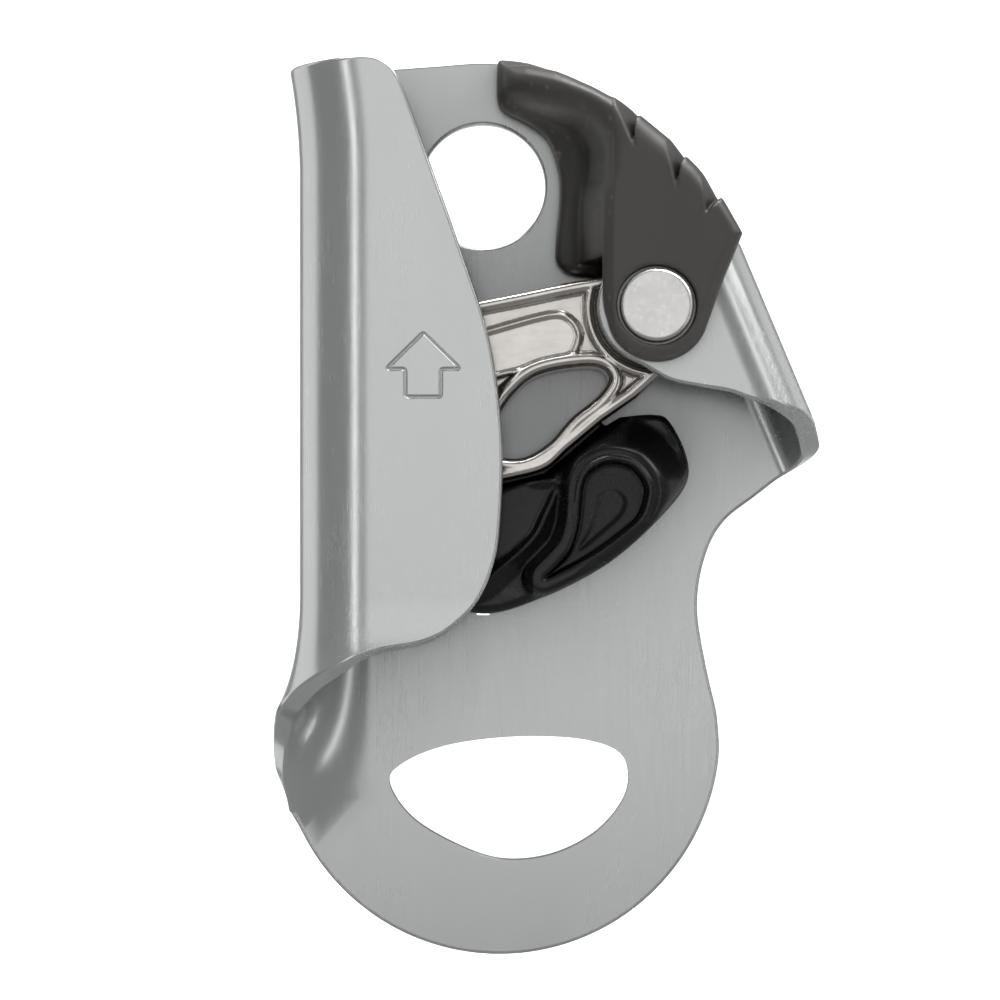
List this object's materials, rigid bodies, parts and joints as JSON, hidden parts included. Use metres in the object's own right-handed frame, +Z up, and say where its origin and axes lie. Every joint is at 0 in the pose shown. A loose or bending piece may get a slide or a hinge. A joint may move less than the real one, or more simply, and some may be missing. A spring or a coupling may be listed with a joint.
{
  "type": "rope ascender",
  "caption": "Handle-less rope ascender: folded sheet body with rope channel, sprung toothed cam, thumb catch and moulded grip.",
  "frame": {"origin": "centre of the upper attachment hole on the back face of the sheet", "axes": "+Z up the rope, +Y out of the back face, +X to the user's right when the open side faces the user"},
  "size_m": [0.0664, 0.0235, 0.1095],
  "materials": {
    "sheet": "fine brushed aluminium sheet with a satin sheen",
    "grip": "black moulded plastic, satin with a fine grain",
    "rivet": "stainless steel, finely turned and brushed",
    "cam": "polished plated steel with a brushed recess",
    "spring": "drawn spring wire",
    "catch": "black moulded plastic, semi-gloss"
  },
  "bodies": {
    "body": {"frame": "sheet", "grip_shroud": "grip", "axle_rivet": "rivet", "tail_washer": "rivet", "axle_sleeve": "rivet", "back_thrust_washer": "rivet", "front_thrust_washer": "rivet", "cam_spring": "spring"},
    "cam_arm": {"cam": "cam", "catch_pin": "rivet", "catch_spring": "spring"},
    "catch": {"catch_lever": "catch"}
  },
  "joints": [
    {"name": "cam_pivot", "type": "hinge", "parent": "body", "child": "cam_arm", "pos_m": [0.02057, -0.009, -0.01543], "axis": [0, -1, 0], "range_deg": [0, 30], "stiffness_Nm_per_rad": 0.05, "springref_deg": -45.84},
    {"name": "catch_pivot", "type": "hinge", "parent": "cam_arm", "child": "catch", "pos_m": [-0.007, -0.009, -0.0326], "axis": [0, 1, 0], "range_deg": [0, 18], "stiffness_Nm_per_rad": 0.02, "springref_deg": -34.38}
  ]
}
